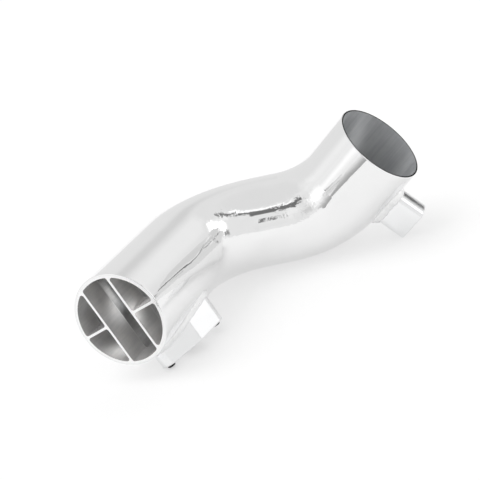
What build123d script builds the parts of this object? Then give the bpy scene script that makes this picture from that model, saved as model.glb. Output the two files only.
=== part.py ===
"""Cold air intake pipe.

A polished aluminium tube with two bends. A machined air straightener sits flush in its front
mouth. A machined block for an air flow sensor is welded under the front leg and holds its two
screws, and a machined mounting boss with a blind thread is welded on the outside of the rear bend.

The origin is the centre of the front mouth. +Z is up, with the pipe lying on a flat surface as it
comes to rest, and +X follows the front leg into the pipe, seen from above.
"""
import os
from math import cos, radians, sin
from typing import NamedTuple

from build123d import *

# Tube, in millimetres and degrees
tube_diameter = 76.2
tube_wall = 1.65
bend_radius = tube_diameter
front_leg = 106.5
front_bend = 66.4
middle_leg = 22.0
bend_twist = -67.6
rear_bend = 47.2
rear_leg = 46.1
rim_rounding = 0.6

# How the pipe lies: the front leg dips inwards, and the first bend leans down
front_dip = 3.9
bend_lean = 3.5

# Air straightener
straightener_depth = 22.0
straightener_ring = 1.45
straightener_clearance = 0.02
web_thickness = 1.9
web_spacing = 27.0
cell_corner = 2.0

# Sensor block, along and beside the front leg's centreline. Its outer face stands off the tube
sensor_clock = 25.0
block_place = 47.2
block_offset = 7.5
block_stand = 14.9
block_skew = 22.1
block_half_width = 13.9
block_end_spacing = 48.6
block_end_radius = 9.1
block_edge = 0.5
block_weld = 3.6
sensor_bore_diameter = 19.0
sensor_bore_lead = 0.8

# Sensor screws, and the tapped holes that hold them
screw_spacing = 54.0
screw_diameter = 4.0
screw_clearance = 0.02
screw_length = 10.0
screw_head_diameter = 7.6
screw_head_height = 2.4
screw_crown_diameter = 5.0
screw_socket_width = 2.5
screw_socket_depth = 1.4
screw_tip = 0.4
dome_bulge = 0.3
tapped_hole_spare = 1.6

# Mounting boss, on the rear bend and the rear leg
boss_place = 40.3
boss_clock = -22.2
boss_stand = 26.6
boss_length = 31.0
boss_width = 21.2
boss_end_radius = 45.0
boss_corner = 5.2
boss_edge = 0.6
boss_weld = 5.0
boss_thread_diameter = 6.0
boss_thread_depth = 16.0
boss_thread_lead = 0.7

tube_radius = tube_diameter / 2
bore_radius = tube_radius - tube_wall
block_height = tube_radius + block_stand
boss_height = tube_radius + boss_stand


def turned(vector, about, angle):
    """A direction, turned about another direction."""
    return vector.rotate(Axis((0, 0, 0), about), angle)


class Station(NamedTuple):
    """A point on the tube's centreline, its heading, and the side that the tube bends to next."""

    point: Vector
    heading: Vector
    side: Vector

    def ahead(self, length):
        """The station further along a straight leg."""
        return self._replace(point=self.point + self.heading * length)

    def twisted(self, angle):
        """The same point, with the next bend's side turned about the heading."""
        return self._replace(side=turned(self.side, self.heading, angle))

    def bend_axis(self):
        """The axis that a bend from here turns about."""
        return Axis(self.point + self.side * bend_radius, self.heading.cross(self.side))

    def bent(self, angle):
        """The station at the end of a bend."""
        axis = self.bend_axis()
        side = turned(self.side, axis.direction, angle)
        heading = turned(self.heading, axis.direction, angle)
        return Station(axis.position - side * bend_radius, heading, side)

    def plane(self):
        """The tube's section plane, facing forwards."""
        return Plane(origin=self.point, x_dir=self.side, z_dir=self.heading)


# Centreline, from the front mouth to the rear mouth
front_heading = Vector(cos(radians(front_dip)), 0, -sin(radians(front_dip)))
front_side = turned(Vector(0, -1, 0), front_heading, bend_lean)
front_mouth = Station(Vector(0, 0, 0), front_heading, front_side)
front_bend_start = front_mouth.ahead(front_leg)
front_bend_end = front_bend_start.bent(front_bend)
rear_bend_start = front_bend_end.ahead(middle_leg).twisted(bend_twist)
rear_bend_end = rear_bend_start.bent(rear_bend)
rear_mouth = rear_bend_end.ahead(rear_leg)
legs = [(front_mouth, front_leg), (front_bend_end, middle_leg), (rear_bend_end, rear_leg)]
bends = [(front_bend_start, front_bend), (rear_bend_start, rear_bend)]

# Block planes: the normal points out of the tube, and x runs along the block
floor_side = turned(front_side, front_heading, 90)
sensor_normal = turned(floor_side, front_heading, -sensor_clock)
sensor_across = front_heading.cross(sensor_normal)
block_plane = Plane(
    origin=front_mouth.ahead(block_place).point - sensor_across * block_offset,
    x_dir=turned(front_heading, sensor_normal, block_skew),
    z_dir=sensor_normal,
)
block_face = block_plane.offset(block_height)
screw_places = {"front": (-screw_spacing / 2, 0), "rear": (screw_spacing / 2, 0)}

# Boss planes: the normal points out of the bend, and x runs along the rear leg
boss_normal = turned(-rear_mouth.side, rear_mouth.heading, boss_clock)
boss_plane = Plane(
    origin=rear_mouth.ahead(-boss_place).point,
    x_dir=rear_mouth.heading,
    z_dir=boss_normal,
)
boss_face = boss_plane.offset(boss_height)


def swept_tube(outer, inner=0.0):
    """The tube's legs and bends as one solid, filled if it has no inner radius."""
    with BuildPart() as swept:
        for station, length in legs:
            with BuildSketch(station.plane()):
                Circle(outer)
                if inner:
                    Circle(inner, mode=Mode.SUBTRACT)
            extrude(amount=length)
        for station, angle in bends:
            with BuildSketch(station.plane()):
                Circle(outer)
                if inner:
                    Circle(inner, mode=Mode.SUBTRACT)
            revolve(axis=station.bend_axis(), revolution_arc=angle)
    return swept.part


def weld_around(stub, size):
    """The weld that fills the corner between the tube and a stub that stands in it."""
    with BuildPart() as bead:
        add(filled_tube)
        add(stub)
        fillet(new_edges(filled_tube, stub, combined=bead.part), size)
        add(filled_tube, mode=Mode.SUBTRACT)
        add(stub, mode=Mode.SUBTRACT)
    return bead.part


def finish(piece, name):
    """Name a piece and write it to its own file."""
    piece.label = name
    export_step(piece, f"parts/{name}.step")


os.makedirs("parts", exist_ok=True)
filled_tube = swept_tube(tube_radius)

# Plain stubs, from the outer face of the block and of the boss to well inside the tube
stub_root = tube_radius / 3

with BuildPart() as block_stub:
    with BuildSketch(block_face):
        with Locations((-block_end_spacing / 2, 0), (block_end_spacing / 2, 0)):
            Circle(block_end_radius)
        Polygon(
            (-block_end_spacing / 2, 0),
            (0, -block_half_width),
            (block_end_spacing / 2, 0),
            (0, block_half_width),
        )
        make_hull()
    extrude(amount=stub_root - block_height)

with BuildPart() as boss_stub:
    with BuildSketch(boss_face) as boss_outline:
        Rectangle(boss_length, boss_width)
        for end_centre in (boss_length / 2 - boss_end_radius, boss_end_radius - boss_length / 2):
            with Locations((end_centre, 0)):
                Circle(boss_end_radius, mode=Mode.INTERSECT)
        fillet(boss_outline.vertices(), boss_corner)
    extrude(amount=stub_root - boss_height)

# Intake tube, with the sensor's hole through its wall
with BuildPart() as intake_tube:
    add(swept_tube(tube_radius, bore_radius))
    for mouth in (front_mouth, rear_mouth):
        rim = intake_tube.edges().filter_by(GeomType.CIRCLE).sort_by_distance(mouth.point)[1]
        fillet(rim, rim_rounding)
    with BuildSketch(block_face):
        Circle(sensor_bore_diameter / 2)
    extrude(amount=-block_height, mode=Mode.SUBTRACT)

# Air straightener, one piece: a ring, two long webs and two short cross webs around five cells
ring_inner = bore_radius - straightener_ring
cross_web_length = ring_inner - web_spacing / 2
cross_web_middle = (ring_inner + web_spacing / 2) / 2

with BuildSketch() as cells:
    Circle(ring_inner)
    with Locations((0, -web_spacing / 2), (0, web_spacing / 2)):
        Rectangle(2 * ring_inner, web_thickness, mode=Mode.SUBTRACT)
    with Locations((0, -cross_web_middle), (0, cross_web_middle)):
        Rectangle(web_thickness, cross_web_length, mode=Mode.SUBTRACT)
    fillet(cells.vertices(), cell_corner)

with BuildPart() as air_straightener:
    with BuildSketch(Plane(origin=front_mouth.point, x_dir=sensor_normal, z_dir=front_heading)):
        Circle(bore_radius - straightener_clearance)
        add(cells.sketch, mode=Mode.SUBTRACT)
    extrude(amount=straightener_depth)

# Sensor block, with the sensor's bore and two tapped holes
with BuildPart() as sensor_block:
    add(block_stub.part)
    chamfer(sensor_block.faces().sort_by(Axis(block_plane.origin, sensor_normal))[-1].edges(), block_edge)
    add(filled_tube, mode=Mode.SUBTRACT)
    with BuildSketch(block_face):
        Circle(sensor_bore_diameter / 2)
    extrude(amount=-block_height, mode=Mode.SUBTRACT)
    with BuildSketch(block_face):
        Circle(sensor_bore_diameter / 2 + sensor_bore_lead)
    extrude(amount=-sensor_bore_lead, taper=45, mode=Mode.SUBTRACT)
    with BuildSketch(block_face):
        with Locations(*screw_places.values()):
            Circle(screw_diameter / 2 + screw_clearance)
    extrude(amount=-(screw_length + tapped_hole_spare), mode=Mode.SUBTRACT)

# Mounting boss, with a blind threaded hole
with BuildPart() as mounting_boss:
    add(boss_stub.part)
    chamfer(mounting_boss.faces().sort_by(Axis(boss_plane.origin, boss_normal))[-1].edges(), boss_edge)
    add(filled_tube, mode=Mode.SUBTRACT)
    with BuildSketch(boss_face):
        Circle(boss_thread_diameter / 2)
    extrude(amount=-boss_thread_depth, mode=Mode.SUBTRACT)
    with BuildSketch(boss_face):
        Circle(boss_thread_diameter / 2 + boss_thread_lead)
    extrude(amount=-boss_thread_lead, taper=45, mode=Mode.SUBTRACT)

finish(intake_tube.part, "intake_tube")
finish(air_straightener.part, "air_straightener")
finish(sensor_block.part, "sensor_block")
finish(weld_around(block_stub.part, block_weld), "sensor_block_weld")
finish(mounting_boss.part, "mounting_boss")
finish(weld_around(boss_stub.part, boss_weld), "mounting_boss_weld")

# Sensor screws: a domed head with a hexagon socket, on a plain shank with a bevelled tip
head_radius = screw_head_diameter / 2
crown_radius = screw_crown_diameter / 2
shank_radius = screw_diameter / 2
dome_middle = ((head_radius + crown_radius) / 2 + dome_bulge, screw_head_height / 2 + dome_bulge)

for place, spot in screw_places.items():
    seat = Plane(origin=block_face.from_local_coords(spot), x_dir=block_face.x_dir, z_dir=sensor_normal)
    section = Plane(origin=seat.origin, x_dir=seat.x_dir, z_dir=-seat.y_dir)
    with BuildPart() as screw:
        with BuildSketch(section):
            with BuildLine():
                Polyline(
                    (crown_radius, screw_head_height),
                    (0, screw_head_height),
                    (0, -screw_length),
                    (shank_radius - screw_tip, -screw_length),
                    (shank_radius, screw_tip - screw_length),
                    (shank_radius, 0),
                    (head_radius, 0),
                )
                ThreePointArc((head_radius, 0), dome_middle, (crown_radius, screw_head_height))
            make_face()
        revolve(axis=Axis(seat.origin, sensor_normal))
        with BuildSketch(seat.offset(screw_head_height)):
            RegularPolygon(screw_socket_width / 2, 6, major_radius=False)
        extrude(amount=-screw_socket_depth, mode=Mode.SUBTRACT)
    finish(screw.part, f"{place}_sensor_screw")
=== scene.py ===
"""Cold air intake pipe: looks, welds, floor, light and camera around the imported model."""
import math

import bpy
from mathutils import Matrix, Vector


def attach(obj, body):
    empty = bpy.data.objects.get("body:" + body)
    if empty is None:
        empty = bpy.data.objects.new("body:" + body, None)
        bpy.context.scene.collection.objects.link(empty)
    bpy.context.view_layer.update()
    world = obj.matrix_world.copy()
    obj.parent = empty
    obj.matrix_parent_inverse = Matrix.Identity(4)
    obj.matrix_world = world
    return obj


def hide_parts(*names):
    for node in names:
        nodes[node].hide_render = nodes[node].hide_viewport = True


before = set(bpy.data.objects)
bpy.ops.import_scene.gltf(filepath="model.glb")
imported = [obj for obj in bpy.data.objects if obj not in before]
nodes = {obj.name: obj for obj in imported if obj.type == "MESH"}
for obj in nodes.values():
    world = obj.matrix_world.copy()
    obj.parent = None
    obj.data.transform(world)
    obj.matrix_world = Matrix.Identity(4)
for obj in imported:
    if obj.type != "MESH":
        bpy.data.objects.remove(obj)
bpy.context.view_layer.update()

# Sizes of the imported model, in metres, and its directions
BEND_RADIUS = 0.0762
STRAIGHTENER_DEPTH = 0.022
LEGS = (0.1065, 0.0220, 0.0461)
BENDS = (66.4, 47.2)
BEND_TWIST = -67.6
FRONT_HEADING = Vector((0.99768, 0.0, -0.06802))
FRONT_SIDE = Vector((-0.00415, -0.99813, -0.06091))
SENSOR_NORMAL = Vector((-0.06328, -0.3665, -0.92826))
SENSOR_AXIS = Vector((0.93376, -0.35004, 0.07454))
BLOCK_FACE = Vector((0.043924, -0.026403, -0.049666))
BOSS_NORMAL = Vector((0.11911, -0.62086, -0.77482))
BOSS_FACE = Vector((0.207606, -0.16663, -0.044882))
REAR_HEADING = Vector((0.05876, -0.7746, 0.62972))
REAR_SIDE = Vector((1, 0, -0.093))

# Faces nearer the centreline than the first belong to the bore, and those within the second of the
# middle of a mouth may be its rim
BORE_REACH = 0.0368
RIM_REACH = 0.040

# Worked places in the polish, and the stretch in y where the bore's lines turn to the rear leg's
BEND_CENTRES = ((0.128, -0.040, 0.014), (0.160, -0.090, 0.008))
REAR_STRETCH = (-0.085, -0.055)

# Outlines of the two welded pieces as circles (x, y, radius) in their face planes, with the size
# and the pitch of the ripples of each weld
BLOCK_CIRCLES = ((-0.0243, 0.0, 0.0091), (0.0243, 0.0, 0.0091), (0.0, -0.0139, 0.0), (0.0, 0.0139, 0.0))
BOSS_CIRCLES = tuple((x, y, 0.0052) for x in (-0.0099, 0.0099) for y in (-0.0054, 0.0054))
BLOCK_BEAD = (0.0034, 0.0016)
BOSS_BEAD = (0.0048, 0.0020)
BEAD_STEP = 0.0003
BEAD_ROWS = 9
BEAD_SINK = 0.00012

# Floor, card and camera
FLOOR = -0.05505
FLOOR_REACH = 4.0
CARD_FOOT = Vector((-0.19, 0.012, FLOOR))
CARD_HALF = Vector((-0.3746, -0.9272, 0)) * 0.06
CARD_HEIGHT = 0.13
CAMERA_PLACE = (-0.7041, -0.49797, 0.39387)
CAMERA_FORWARD = Vector((0.8102, 0.4379, -0.3898))
CAMERA_UP = Vector((0.473, -0.0956, 0.8758))
CAMERA_LENS = 95.273
LAMP_DISTANCE = 0.4


# --------------------------------------------------------------------- helpers
def place(name, data):
    """A new object for this data, in the scene."""
    thing = bpy.data.objects.new(name, data)
    bpy.context.scene.collection.objects.link(thing)
    return thing


def mesh_object(name, vertices, faces, material):
    mesh = bpy.data.meshes.new(name)
    mesh.from_pydata(vertices, [], faces)
    mesh.update()
    mesh.materials.append(material)
    return place(name, mesh)


class Nodes:
    """Short ways to add and join the nodes of one material or of the world."""

    def __init__(self, tree):
        self.tree = tree
        self.tree.nodes.clear()

    def add(self, kind, **inputs):
        """A node, with its sockets set or linked by name or, as i0 and so on, by number.

        A name that ends in _ is one of the node's own settings.
        """
        node = self.tree.nodes.new(kind)
        for key, value in inputs.items():
            if key.endswith("_"):
                setattr(node, key[:-1], value)
        for key, value in inputs.items():
            if not key.endswith("_"):
                numbered = key[0] == "i" and key[1:].isdigit()
                self.put(node.inputs[int(key[1:]) if numbered else key], value)
        return node

    def put(self, socket, value):
        if hasattr(value, "links"):
            self.tree.links.new(value, socket)
        else:
            socket.default_value = value

    def math(self, operation, a, b=0.0):
        return self.add("ShaderNodeMath", operation_=operation, i0=a, i1=b).outputs[0]

    def vector(self, operation, a, b=(0, 0, 0)):
        node = self.add("ShaderNodeVectorMath", operation_=operation, i0=a, i1=b)
        return node.outputs["Value" if operation in ("DOT_PRODUCT", "DISTANCE") else 0]

    def smooth(self, value, low, high, to_low=0.0, to_high=1.0):
        """to_low below low, to_high above high, and a smooth step between."""
        node = self.add("ShaderNodeMapRange", interpolation_type_="SMOOTHSTEP")
        for key, number in (("Value", value), ("From Min", low), ("From Max", high),
                            ("To Min", to_low), ("To Max", to_high)):
            self.put(node.inputs[key], number)
        return node.outputs["Result"]

    def blend(self, factor, a, b):
        """A mix of two numbers."""
        return self.add("ShaderNodeMix", data_type_="FLOAT", i0=factor, i2=a, i3=b).outputs[0]

    def colours(self, factor, a, b):
        """A mix of two colours."""
        return self.add("ShaderNodeMix", data_type_="RGBA", i0=factor, i6=a, i7=b).outputs[2]

    def noise(self, where, scale, detail=3.0, roughness=0.5, distortion=0.0):
        return self.add("ShaderNodeTexNoise", Vector=where, Scale=scale, Detail=detail,
                        Roughness=roughness, Distortion=distortion).outputs[0]

    def object_place(self):
        """Where a point lies, in metres of the row frame."""
        return self.add("ShaderNodeTexCoord").outputs["Object"]

    def part_of(self, vector, index):
        """One of a vector's three numbers."""
        return self.add("ShaderNodeSeparateXYZ", Vector=vector).outputs[index]

    def scaled(self, value, factor, offset=0.0):
        """value * factor + offset"""
        return self.math("ADD", self.math("MULTIPLY", value, factor), offset)

    def average(self, a, b):
        return self.math("ADD", self.math("MULTIPLY", a, 0.5), self.math("MULTIPLY", b, 0.5))

    def bump(self, height, distance, normal=None):
        node = self.add("ShaderNodeBump", Height=height, Distance=distance, Strength=1.0)
        if normal is not None:
            self.put(node.inputs["Normal"], normal)
        return node.outputs[0]


def grey(value, warmth=0.0):
    """A grey of this brightness, as a linear colour; a warm one is redder and less blue."""
    return (value * (1 + warmth), value, value * (1 - warmth), 1.0)


def new_material(name):
    material = bpy.data.materials.new(name)
    material.use_nodes = True
    return material, Nodes(material.node_tree)


def metal(n, colour, roughness, normal=None, metallic=1.0):
    shader = n.add("ShaderNodeBsdfPrincipled", Metallic=metallic, Roughness=roughness)
    n.put(shader.inputs["Base Color"], colour)
    if normal is not None:
        n.put(shader.inputs["Normal"], normal)
    n.add("ShaderNodeOutputMaterial", Surface=shader.outputs[0])


def aligned(n, heading, across, lengthwise, sideways):
    """Coordinates that run slowly along a heading and fast across it, for brushed lines."""
    where = n.object_place()
    third = heading.cross(across).normalized()
    parts = [n.math("MULTIPLY", n.vector("DOT_PRODUCT", where, tuple(axis)), scale)
             for axis, scale in ((heading, lengthwise), (across, sideways), (third, sideways))]
    return n.add("ShaderNodeCombineXYZ", i0=parts[0], i1=parts[1], i2=parts[2]).outputs[0]


# ------------------------------------------------------------------- materials
def polished_tube():
    """Hand-polished tube: nearly a mirror, with a slight waviness that grows in the bends."""
    material, n = new_material("polished_aluminium")
    where = n.object_place()
    first, second = (n.smooth(n.vector("DISTANCE", where, centre), 0.0, 0.034, 1.0, 0.0)
                     for centre in BEND_CENTRES)
    worked = n.math("MAXIMUM", first, second)
    slow = n.bump(n.noise(where, 28.0, 2.0), 0.00022)
    ripples = n.math("MULTIPLY", n.noise(where, 150.0, 3.0, 0.55, 0.4), n.blend(worked, 0.05, 1.0))
    waves = n.bump(ripples, 0.0004, slow)
    marks = n.noise(aligned(n, FRONT_HEADING, FRONT_SIDE, 60.0, 900.0), 1.0, 2.0)
    fine = n.bump(marks, 0.000004, waves)
    haze = n.noise(where, 35.0, 4.0, 0.6)
    roughness = n.scaled(haze, 0.05, 0.035)
    tint = n.colours(haze, grey(0.86), grey(0.90))
    metal(n, tint, roughness, fine)
    return material


def mill_inside():
    """The inside of the tube: plain mill finish with drawing lines along its length."""
    material, n = new_material("tube_inside")
    where = n.object_place()
    rear = n.smooth(n.part_of(where, 1), *REAR_STRETCH, 1.0, 0.0)
    lines = [n.noise(aligned(n, heading, across, 14.0, 320.0), 1.0, 5.0, 0.6)
             for heading, across in ((FRONT_HEADING, FRONT_SIDE), (REAR_HEADING, REAR_SIDE))]
    streaks = n.blend(rear, lines[0], lines[1])
    blotches = n.noise(where, 22.0, 4.0, 0.6)
    shade = n.average(streaks, blotches)
    dull = n.colours(rear, grey(0.66, 0.002), grey(0.66, -0.02))
    bright = n.colours(rear, grey(0.84, 0.01), grey(0.84, -0.01))
    colour = n.colours(n.smooth(shade, 0.35, 0.65), dull, bright)
    roughness = n.scaled(streaks, 0.16, 0.13)
    metal(n, colour, roughness, metallic=0.6)
    return material


def straightener_walls():
    """Cell walls with the cutter's lines along the flow, and a painted highlight at the rear: the walls
    turn white just before the rear edge, where a small rounding would catch the light.
    """
    material, n = new_material("machined_aluminium")
    where = n.object_place()
    along = n.noise(aligned(n, FRONT_HEADING, FRONT_SIDE, 26.0, 420.0), 1.0, 4.0, 0.6)
    blotches = n.noise(where, 60.0, 3.0, 0.6)
    shade = n.average(along, blotches)
    wall = n.colours(n.smooth(shade, 0.35, 0.65), grey(0.78), grey(0.90, 0.018))
    # Painted highlight: the walls fade to white from 1.1 mm before the rear edge and are white from 0.6
    # mm before it.
    depth = n.vector("DOT_PRODUCT", where, tuple(FRONT_HEADING))
    edge = n.smooth(depth, STRAIGHTENER_DEPTH - 0.0011, STRAIGHTENER_DEPTH - 0.0006)
    roughness = n.scaled(along, 0.1, 0.16)
    metal(n, n.colours(edge, wall, grey(1.0)), roughness, metallic=0.6)
    return material


def straightener_face():
    """The faced front of the straightener, satin and nearly white."""
    material, n = new_material("machined_face")
    where = n.object_place()
    blotches = n.noise(where, 60.0, 3.0, 0.6)
    roughness = n.scaled(blotches, 0.08, 0.28)
    metal(n, n.colours(blotches, grey(0.92), grey(0.97)), roughness)
    return material


def polished_block(name, lines_along, lines_across):
    """Milled and polished block: faint cutter lines under a bright finish."""
    material, n = new_material(name)
    where = n.object_place()
    lines = n.noise(aligned(n, lines_along, lines_across, 20.0, 700.0), 1.0, 3.0)
    rounded = n.add("ShaderNodeBevel", samples_=6, Radius=0.0016).outputs[0]
    waves = n.bump(n.noise(where, 60.0, 2.0), 0.00006, rounded)
    haze = n.noise(where, 80.0, 3.0, 0.6)
    colour = n.colours(haze, grey(0.87, -0.004), grey(0.93, -0.004))
    metal(n, colour, n.scaled(haze, 0.12, 0.14), n.bump(lines, 0.000006, waves))
    return material


def weld_metal():
    """Bright weld bead, slightly frosted, with small pits."""
    material, n = new_material("weld_metal")
    where = n.object_place()
    grain = n.noise(where, 900.0, 3.0, 0.6)
    haze = n.noise(where, 250.0, 2.0)
    colour = n.colours(haze, grey(0.86), grey(0.98))
    metal(n, colour, n.scaled(haze, 0.25, 0.2), n.bump(grain, 0.00003))
    return material


def dark_steel():
    """Black oxide on steel, a little rubbed."""
    material, n = new_material("dark_steel")
    where = n.object_place()
    rubbed = n.smooth(n.noise(where, 700.0, 4.0, 0.65), 0.45, 0.7)
    colour = n.colours(rubbed, grey(0.035), grey(0.16))
    metal(n, colour, n.blend(rubbed, 0.42, 0.3), n.bump(n.noise(where, 2500.0, 2.0), 0.000008))
    return material


def dress(name, *materials):
    mesh = nodes[name].data
    mesh.materials.clear()
    for material in materials:
        mesh.materials.append(material)


def centreline():
    """Points along the middle of the tube, a millimetre or two apart."""
    point, heading, side = Vector((0, 0, 0)), FRONT_HEADING.copy(), FRONT_SIDE.copy()
    points = []
    for index, length in enumerate(LEGS):
        points += [point + heading * length * step / 40 for step in range(41)]
        point = point + heading * length
        if index < len(BENDS):
            if index:
                side = Matrix.Rotation(math.radians(BEND_TWIST), 3, heading) @ side
            axis = heading.cross(side)
            middle = point + side * BEND_RADIUS
            for step in range(1, 41):
                turn = Matrix.Rotation(math.radians(BENDS[index]) * step / 40, 3, axis)
                points.append(middle - turn @ side * BEND_RADIUS)
            point, heading, side = points[-1], turn @ heading, turn @ side
    return points


def mark_inside(tube):
    """Give the faces of the tube's bore, without its rims, the second material."""
    points = centreline()
    ends = ((points[0], FRONT_HEADING), (points[-1], REAR_HEADING))
    for face in tube.data.polygons:
        rim = any((face.center - end).length < RIM_REACH and abs(face.normal.dot(heading)) > 0.7
                  for end, heading in ends)
        nearest = min(points, key=lambda point: (point - face.center).length_squared)
        inside = (face.center - nearest).length < BORE_REACH
        face.material_index = 1 if inside and not rim else 0


def mark_face(straightener):
    """Give the straightener's front faces the second material."""
    for face in straightener.data.polygons:
        face.material_index = 1 if face.normal.dot(FRONT_HEADING) < -0.7 else 0


dress("intake_tube", polished_tube(), mill_inside())
mark_inside(nodes["intake_tube"])
dress("air_straightener", straightener_walls(), straightener_face())
mark_face(nodes["air_straightener"])
dress("sensor_block", polished_block("polished_block", SENSOR_AXIS, SENSOR_NORMAL))
dress("mounting_boss", polished_block("polished_boss", REAR_HEADING, BOSS_NORMAL))
steel = dark_steel()
dress("front_sensor_screw", steel)
dress("rear_sensor_screw", steel)


# ----------------------------------------------------------------------- welds
def bead(name, path, rise, size, pitch, material):
    """A rippled weld along a closed path of (seam point, tube's normal, way out of the piece)."""
    tube = nodes["intake_tube"]
    vertices, faces = [], []
    run = 0.0
    for index, (corner, up, out) in enumerate(path):
        run += (corner - path[index - 1][0]).length if index else 0.0
        swell = 1.0 + 0.05 * math.sin(run * 410.0) + 0.04 * math.sin(run * 977.0 + 1.3)
        along_tube = (out - up * out.dot(up)).normalized()
        low = tube.closest_point_on_mesh(corner + along_tube * size * swell)[1] - up * BEAD_SINK
        high = corner + rise * size * swell - out * BEAD_SINK
        bulge = (out + rise).normalized()
        for row in range(BEAD_ROWS):
            share = row / (BEAD_ROWS - 1)
            arc = 4 * share * (1 - share)
            phase = (run / pitch + 0.45 * arc + 0.12 * math.sin(run * 733.0)) % 1.0
            ripple = pitch * 0.13 * (1.0 - phase) ** 1.4 * min(1.0, 2.2 * arc)
            vertices.append(low.lerp(high, share) + bulge * (size * 0.05 * arc + ripple))
        vertices.append(corner - (up + out) * 0.0004)
    ring = BEAD_ROWS + 1
    for index in range(len(path)):
        here, after = index * ring, (index + 1) % len(path) * ring
        for row in range(ring):
            beside = (row + 1) % ring
            faces.append((here + row, here + beside, after + beside, after + row))
    piece = mesh_object(name, vertices, faces, material)
    for face in piece.data.polygons:
        face.use_smooth = True
    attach(piece, "root")
    return piece


def resampled(corners, spacing):
    """A closed run of (point, outward direction) with even spacing."""
    out = []
    lengths = [(corners[(i + 1) % len(corners)][0] - c[0]).length for i, c in enumerate(corners)]
    total = sum(lengths)
    count = max(8, round(total / spacing))
    step, index, start = total / count, 0, 0.0
    for number in range(count):
        wanted = number * step
        while start + lengths[index] < wanted:
            start += lengths[index]
            index += 1
        share = (wanted - start) / lengths[index]
        a, b = corners[index], corners[(index + 1) % len(corners)]
        out.append((a[0].lerp(b[0], share), a[1].lerp(b[1], share).normalized()))
    window = range(-4, 5)
    return [(point, sum((out[(i + k) % count][1] for k in window), Vector((0, 0))).normalized())
            for i, (point, _) in enumerate(out)]


def hull_outline(circles, steps=128):
    """The outline around circles of (x, y, radius): points and outward directions, in a plane."""
    outline = []
    for number in range(steps):
        angle = 2 * math.pi * number / steps
        out = Vector((math.cos(angle), math.sin(angle)))
        best = max(circles, key=lambda c: c[0] * out.x + c[1] * out.y + c[2])
        outline.append((Vector(best[:2]) + out * best[2], out))
    return outline


def seam(outline, origin, x_axis, normal):
    """Where an outline, pushed into the tube from its face plane, meets the tube's skin."""
    y_axis = normal.cross(x_axis)
    tube = nodes["intake_tube"]
    path = []
    for flat, out in outline:
        start = origin + x_axis * flat.x + y_axis * flat.y
        hit, spot, up, _ = tube.ray_cast(start, -normal)
        if not hit:
            raise ValueError("a seam point misses the tube")
        path.append((spot, up.copy(), x_axis * out.x + y_axis * out.y))
    return path


weld = weld_metal()
for name, circles, origin, x_axis, normal, (size, pitch) in (
    ("sensor_block_weld", BLOCK_CIRCLES, BLOCK_FACE, SENSOR_AXIS, SENSOR_NORMAL, BLOCK_BEAD),
    ("mounting_boss_weld", BOSS_CIRCLES, BOSS_FACE, REAR_HEADING, BOSS_NORMAL, BOSS_BEAD),
):
    outline = resampled(hull_outline(circles), BEAD_STEP)
    path = seam(outline, origin, x_axis, normal)
    weld_piece = bead(name + "_bead", path, normal, size, pitch, weld)
    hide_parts(name)


# ----------------------------------------------------------------------- floor
def floor_plane():
    """White paper under the pipe, lit partly by itself so that only the shadow shows on it."""
    material, n = new_material("floor_paper")
    path = n.add("ShaderNodeLightPath")
    flat = n.math("MAXIMUM", n.math("MULTIPLY", path.outputs["Is Camera Ray"], 0.50),
                  n.math("MULTIPLY", path.outputs["Is Glossy Ray"], 0.40))
    diffuse = n.add("ShaderNodeBsdfDiffuse", Color=n.colours(flat, grey(0.94), grey(0.0)))
    glow = n.add("ShaderNodeEmission", Strength=n.math("MULTIPLY", flat, 1.07))
    both = n.add("ShaderNodeAddShader", i0=diffuse.outputs[0], i1=glow.outputs[0])
    n.add("ShaderNodeOutputMaterial", Surface=both.outputs[0])
    corners = [(x * FLOOR_REACH, y * FLOOR_REACH, FLOOR)
               for x, y in ((-1, -1), (1, -1), (1, 1), (-1, 1))]
    mesh_object("floor", corners, [(0, 1, 2, 3)], material)


def glowing_card():
    """A card beside the pipe that glows, out of the picture and seen only in reflections, for the soft
    stripe along its rear leg; its glow is painted darker toward the floor.
    """
    material, n = new_material("card_glow")
    height = n.part_of(n.object_place(), 2)
    # Painted shade on the glowing card: its glow fades from 1.05 at the top to 0.40 at the floor.
    shade = n.smooth(height, FLOOR, FLOOR + CARD_HEIGHT, 0.40, 1.05)
    glow = n.add("ShaderNodeEmission", Strength=shade)
    n.add("ShaderNodeOutputMaterial", Surface=glow.outputs[0])
    left, right, rise = CARD_FOOT - CARD_HALF, CARD_FOOT + CARD_HALF, Vector((0, 0, CARD_HEIGHT))
    card = mesh_object("glowing_card", [left, right, right + rise, left + rise], [(0, 1, 2, 3)], material)
    card.visible_camera = card.visible_diffuse = card.visible_shadow = card.visible_transmission = False


floor_plane()
glowing_card()


# ----------------------------------------------------------------------- light
def unit(azimuth, elevation):
    a, e = math.radians(azimuth), math.radians(elevation)
    return Vector((math.cos(a) * math.cos(e), math.sin(a) * math.cos(e), math.sin(e)))


# Studio around the object, as its mirror finish sees it. Each panel: middle azimuth and half its
# width, elevations of its two edges, brightness, and how soft its edges are, in degrees
PANELS = (
    (0, 180, 58, 95, 0.81, 5),
    (20, 75, -5, 62, 0.84, 14),
    (11, 8, 24, 38, 0.72, 6),
    (-18, 13, 12, 36, 0.93, 6),
    (-115, 32, -2, 40, 0.87, 8),
    (-130, 50, 52, 56.5, 1.25, 1.5),
    (-60, 20, 10, 33, 1.6, 4),
    (-58, 16, 3, 9, 1.15, 2),
    (146, 16, 7, 30, 1.15, 5),
    (151, 5, 14, 25, 1.5, 3),
    (176, 7, 8, 24, 0.70, 3),
    (-170, 34, 41, 52, 0.18, 1.2),
    (-100, 48, 45.5, 51, 0.20, 1.2),
    (-156, 0.8, 21, 30, 0.12, 0.3),
    (-80, 6, 4, 14, 0.35, 2),
    (-41, 7, 1, 6.5, 0.08, 0.8),
    (-21.3, 6.5, 4.5, 14.0, 0.0, 0.5),
)


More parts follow.
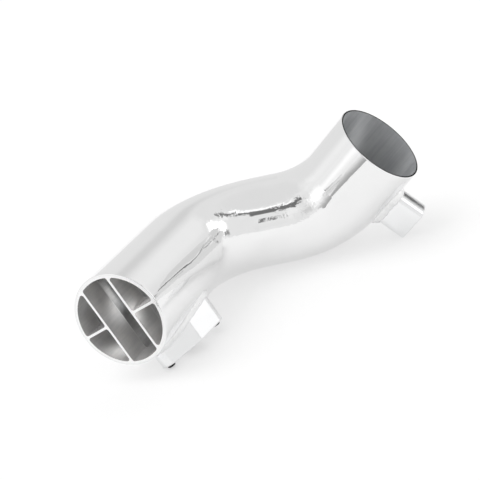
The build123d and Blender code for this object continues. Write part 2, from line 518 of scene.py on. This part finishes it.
def studio():
    world = bpy.data.worlds.new("studio")
    bpy.context.scene.world = world
    world.use_nodes = True
    n = Nodes(world.node_tree)
    way = n.add("ShaderNodeTexCoord").outputs["Generated"]
    parts = n.add("ShaderNodeSeparateXYZ", Vector=way)
    height = n.math("ARCSINE", parts.outputs[2])
    level_way = n.add("ShaderNodeCombineXYZ", i0=parts.outputs[0], i1=parts.outputs[1]).outputs[0]
    flat = n.vector("NORMALIZE", level_way)
    clouds = n.noise(way, 1.7, 2.0)
    level = n.smooth(clouds, 0.3, 0.7, 0.84, 1.0)
    for azimuth, half, low, high, brightness, soft in PANELS:
        turn = n.math("ARCCOSINE", n.vector("DOT_PRODUCT", flat, tuple(unit(azimuth, 0))))
        edge = math.radians(soft)
        within = n.smooth(turn, math.radians(half) - edge, math.radians(half) + edge, 1.0, 0.0)
        above = n.smooth(height, math.radians(low) - edge, math.radians(low) + edge)
        below = n.smooth(height, math.radians(high) - edge, math.radians(high) + edge, 1.0, 0.0)
        level = n.blend(n.math("MULTIPLY", within, n.math("MULTIPLY", above, below)), level, brightness)
    path = n.add("ShaderNodeLightPath")
    strength = n.blend(path.outputs["Is Glossy Ray"], 0.80, level)
    strength = n.blend(path.outputs["Is Camera Ray"], strength, 1.0)
    light = n.add("ShaderNodeBackground", Color=grey(1.0), Strength=strength)
    n.add("ShaderNodeOutputWorld", Surface=light.outputs[0])


def lamp(kind, name, azimuth, elevation, energy):
    """A lamp that shines from this direction and isn't seen in the mirror finish."""
    data = bpy.data.lights.new(name, kind)
    data.energy = energy
    holder = place(name, data)
    holder.rotation_mode = "QUATERNION"
    holder.rotation_quaternion = unit(azimuth, elevation).to_track_quat("Z", "Y")
    holder.visible_glossy = False
    return holder


def soft_sun(name, azimuth, elevation, strength, spread):
    lamp("SUN", name, azimuth, elevation, strength).data.angle = math.radians(spread)


def beam(name, target, azimuth, elevation, radius, watts):
    """A narrow lamp that shines on one patch of the pipe's inside, from this direction."""
    holder = lamp("SPOT", name, azimuth, elevation, watts)
    holder.location = Vector(target) + unit(azimuth, elevation) * LAMP_DISTANCE
    holder.data.spot_size = 2 * math.atan(radius / LAMP_DISTANCE)
    holder.data.spot_blend = 1.0
    holder.data.shadow_soft_size = 0.006


studio()
soft_sun("key", 120, 62, 0.9, 50)
beam("mouth", (0.0, 0.0, 0.0), 176, 34, 0.032, 2.0)
beam("channel", (0.050, 0.034, -0.006), -139, 8, 0.015, 11.0)
beam("low_cell", (0.006, 0.016, -0.028), 170, 40, 0.008, 24.0)
beam("right_cell", (0.009, -0.025, 0.004), 166, 36, 0.009, 12.0)
beam("rear_mouth", (0.231, -0.128, 0.030), -116, 44, 0.010, 14.0)

# ---------------------------------------------------------------------- camera
camera = bpy.data.cameras.new("camera")
camera.sensor_width = 36.0
camera.lens = CAMERA_LENS
camera.clip_start = 0.05
holder = place("camera", camera)
forward = CAMERA_FORWARD.normalized()
right = forward.cross(CAMERA_UP).normalized()
turn = Matrix((right, right.cross(forward), -forward)).transposed().to_4x4()
holder.matrix_world = Matrix.Translation(CAMERA_PLACE) @ turn
bpy.context.scene.camera = holder
bpy.context.scene.view_settings.view_transform = "Standard"
